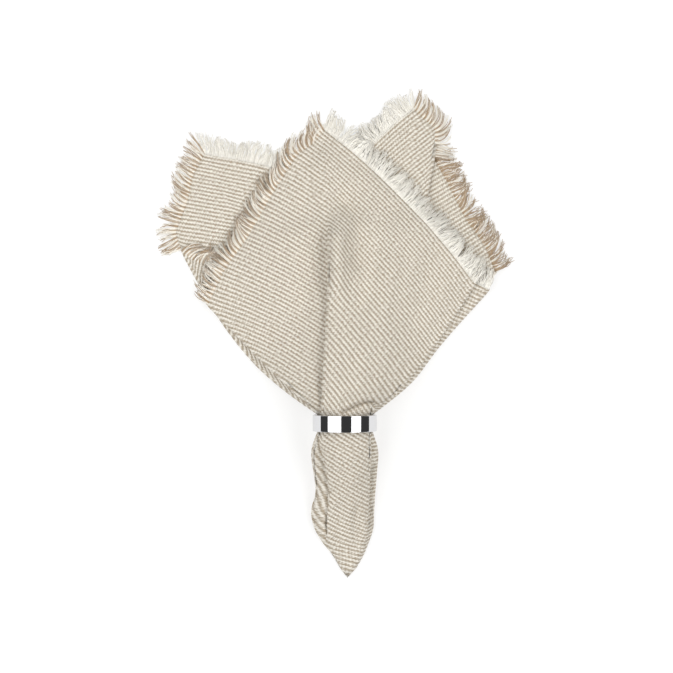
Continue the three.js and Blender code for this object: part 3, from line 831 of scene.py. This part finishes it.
def loose_yarn(name, dark, light):
    """Frayed cotton yarn: dull and soft, with the twist of its strands as fine slanted shading."""
    material, tree, shader = new_material(name)
    yarn = add(tree, "ShaderNodeUVMap", {"uv_map": "yarn"})
    tone, along, _ = add(tree, "ShaderNodeSeparateXYZ", None, {0: yarn}).outputs
    place = add(tree, "ShaderNodeTexCoord").outputs["Object"]
    fuzz = add(tree, "ShaderNodeTexNoise", {"Scale": 900, "Detail": 2}, {"Vector": place})
    fuzzy = add(tree, "ShaderNodeMath", {"operation": "ADD", 1: -0.5}, {0: fuzz})
    blend = add(tree, "ShaderNodeMath", {"operation": "MULTIPLY_ADD", 1: 0.3}, {0: fuzzy, 2: tone})
    stops = [(0.2, linear(dark)), (0.8, linear(light))]
    colour = add(tree, "ShaderNodeValToRGB", {"stops": stops}, {0: blend})
    tree.links.new(colour.outputs[0], shader.inputs["Base Color"])
    turns = 2 * math.pi / (STRAND_TWIST * MM)
    turned = add(tree, "ShaderNodeMath", {"operation": "MULTIPLY", 1: turns}, {0: along})
    twist = add(tree, "ShaderNodeMath", {"operation": "SINE"}, {0: turned})
    bump = add(tree, "ShaderNodeBump", {"Strength": 0.2, "Distance": 0.1 * MM}, {"Height": twist})
    tree.links.new(bump.outputs[0], shader.inputs["Normal"])
    rough = add(tree, "ShaderNodeMapRange", {"To Min": 0.85, "To Max": 0.98}, {"Value": fuzz})
    tree.links.new(rough.outputs[0], shader.inputs["Roughness"])
    shader.inputs["Sheen Weight"].default_value = 0.3
    shader.inputs["Sheen Roughness"].default_value = 0.5
    return material


def polished_steel():
    """Chromed steel, turned and buffed: sharp dark and bright reflections, faint hairlines round it."""
    material, tree, shader = new_material("polished chromed steel")
    place = add(tree, "ShaderNodeUVMap", {"uv_map": "band"})
    stretched = add(tree, "ShaderNodeMapping", {"Scale": (20, 4000, 1)}, {"Vector": place})
    hairlines = add(tree, "ShaderNodeTexNoise", {"Scale": 1, "Detail": 2}, {"Vector": stretched})
    rough = add(tree, "ShaderNodeMapRange",
                {"From Min": 0.3, "From Max": 0.7, "To Min": 0.02, "To Max": 0.06}, {"Value": hairlines})
    tree.links.new(rough.outputs[0], shader.inputs["Roughness"])
    bump = add(tree, "ShaderNodeBump", {"Strength": 0.02, "Distance": 0.05 * MM}, {"Height": hairlines})
    tree.links.new(bump.outputs[0], shader.inputs["Normal"])
    shader.inputs["Base Color"].default_value = linear(STEEL)
    shader.inputs["Metallic"].default_value = 1
    return material


# The cloth, in place of its plain solid.
cloth = make_cloth()
cloth.data.materials.append(cotton_twill())
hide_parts("napkin")

# The fringe, one mesh for each stretch of cut edge between two folds.
plain_yarn = loose_yarn("frayed cream yarn", PLAIN_YARN_DARK, PLAIN_YARN_LIGHT)
mixed_yarn = loose_yarn("frayed cream and beige yarn", YARN_BEIGE, YARN_CREAM)
pass_named = {layer["name"]: layer for layer in PASSES}
for layer in PASSES:
    for (a, b), kind in zip(zip(layer["lines"], layer["lines"][1:]), layer["edges"]):
        if not kind:
            continue
        stretches = [(layer, a, b)]
        if layer["name"] == "front_left":
            # The front corner's short stretch beside the pleat frays with the front's left edge.
            stretches += [(pass_named["front_right"], "corner_a", "pleat_top"),
                          (pass_named["pleat"], "pleat_top", "pleat_under")]
        if layer["name"] == "right_low":
            stretches += [(pass_named["tuck"], "tuck_top", "tuck_under")]
        fringe = make_fringe(f"yarns_{kind}_{layer['name']}", stretches, kind)
        fringe.data.materials.append(plain_yarn if kind == "plain" else mixed_yarn)
        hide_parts(f"fringe_{kind}_{layer['name']}")

band = make_ring()
band.data.materials.append(polished_steel())
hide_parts("napkin_ring")


def make_floor():
    """A white light table: its own faint glow keeps the ground white under the napkin's edges."""
    mesh = bpy.data.meshes.new("floor")
    reach = 0.32
    below = -0.0003
    mesh.from_pydata([(-reach, -reach, below), (reach, -reach, below), (reach, reach, below),
                      (-reach, reach, below)], [], [(0, 1, 2, 3)])
    floor = bpy.data.objects.new("floor", mesh)
    bpy.context.scene.collection.objects.link(floor)
    material, _, shader = new_material("matt white board")
    shader.inputs["Base Color"].default_value = linear(TABLE_GREY)
    shader.inputs["Roughness"].default_value = 0.9
    shader.inputs["Emission Color"].default_value = linear("#FFFFFF")
    shader.inputs["Emission Strength"].default_value = 0.6
    floor.data.materials.append(material)


def make_softbox(name, low_angle, high_angle, height, power):
    """A long soft panel that fills an arc of the sky as seen from the ring, degrees from straight up."""
    low = math.tan(math.radians(low_angle)) * height
    high = math.tan(math.radians(high_angle)) * height
    light = bpy.data.lights.new(name, "AREA")
    light.shape = "RECTANGLE"
    light.size, light.size_y = high - low, 2.6
    light.energy = power * light.size * light.size_y
    lamp = bpy.data.objects.new(name, light)
    ring_x = (RING["x"] + SHIFT_X) * MM
    lamp.location = (ring_x + (low + high) / 2, 0, height)
    bpy.context.scene.collection.objects.link(lamp)


make_floor()
make_softbox("softbox_left", -62, -13, 0.8, 6.5)
make_softbox("softbox_right", 23, 58, 0.8, 8.2)

# The studio round the panels is dim, so that the ring shows dark bands.
world = bpy.data.worlds.new("dim studio")
world.use_nodes = True
world.node_tree.nodes["Background"].inputs["Color"].default_value = linear("#FFFFFF")
world.node_tree.nodes["Background"].inputs["Strength"].default_value = 0.05
bpy.context.scene.world = world
bpy.context.scene.view_settings.view_transform = "Standard"

# The camera looks straight down, with the photograph's up along +Y.
CAMERA_HEIGHT = 1.1
CAMERA_AIM = (3.3, 1.0)
PHOTO_WIDTH_ON_TABLE = 451
SENSOR_WIDTH = 36
camera_data = bpy.data.cameras.new("camera")
camera_data.sensor_width = SENSOR_WIDTH
camera_data.lens = SENSOR_WIDTH * CAMERA_HEIGHT / (PHOTO_WIDTH_ON_TABLE * MM)
camera = bpy.data.objects.new("camera", camera_data)
camera.location = Vector((CAMERA_AIM[0] * MM, CAMERA_AIM[1] * MM, CAMERA_HEIGHT))
bpy.context.scene.collection.objects.link(camera)
bpy.context.scene.camera = camera
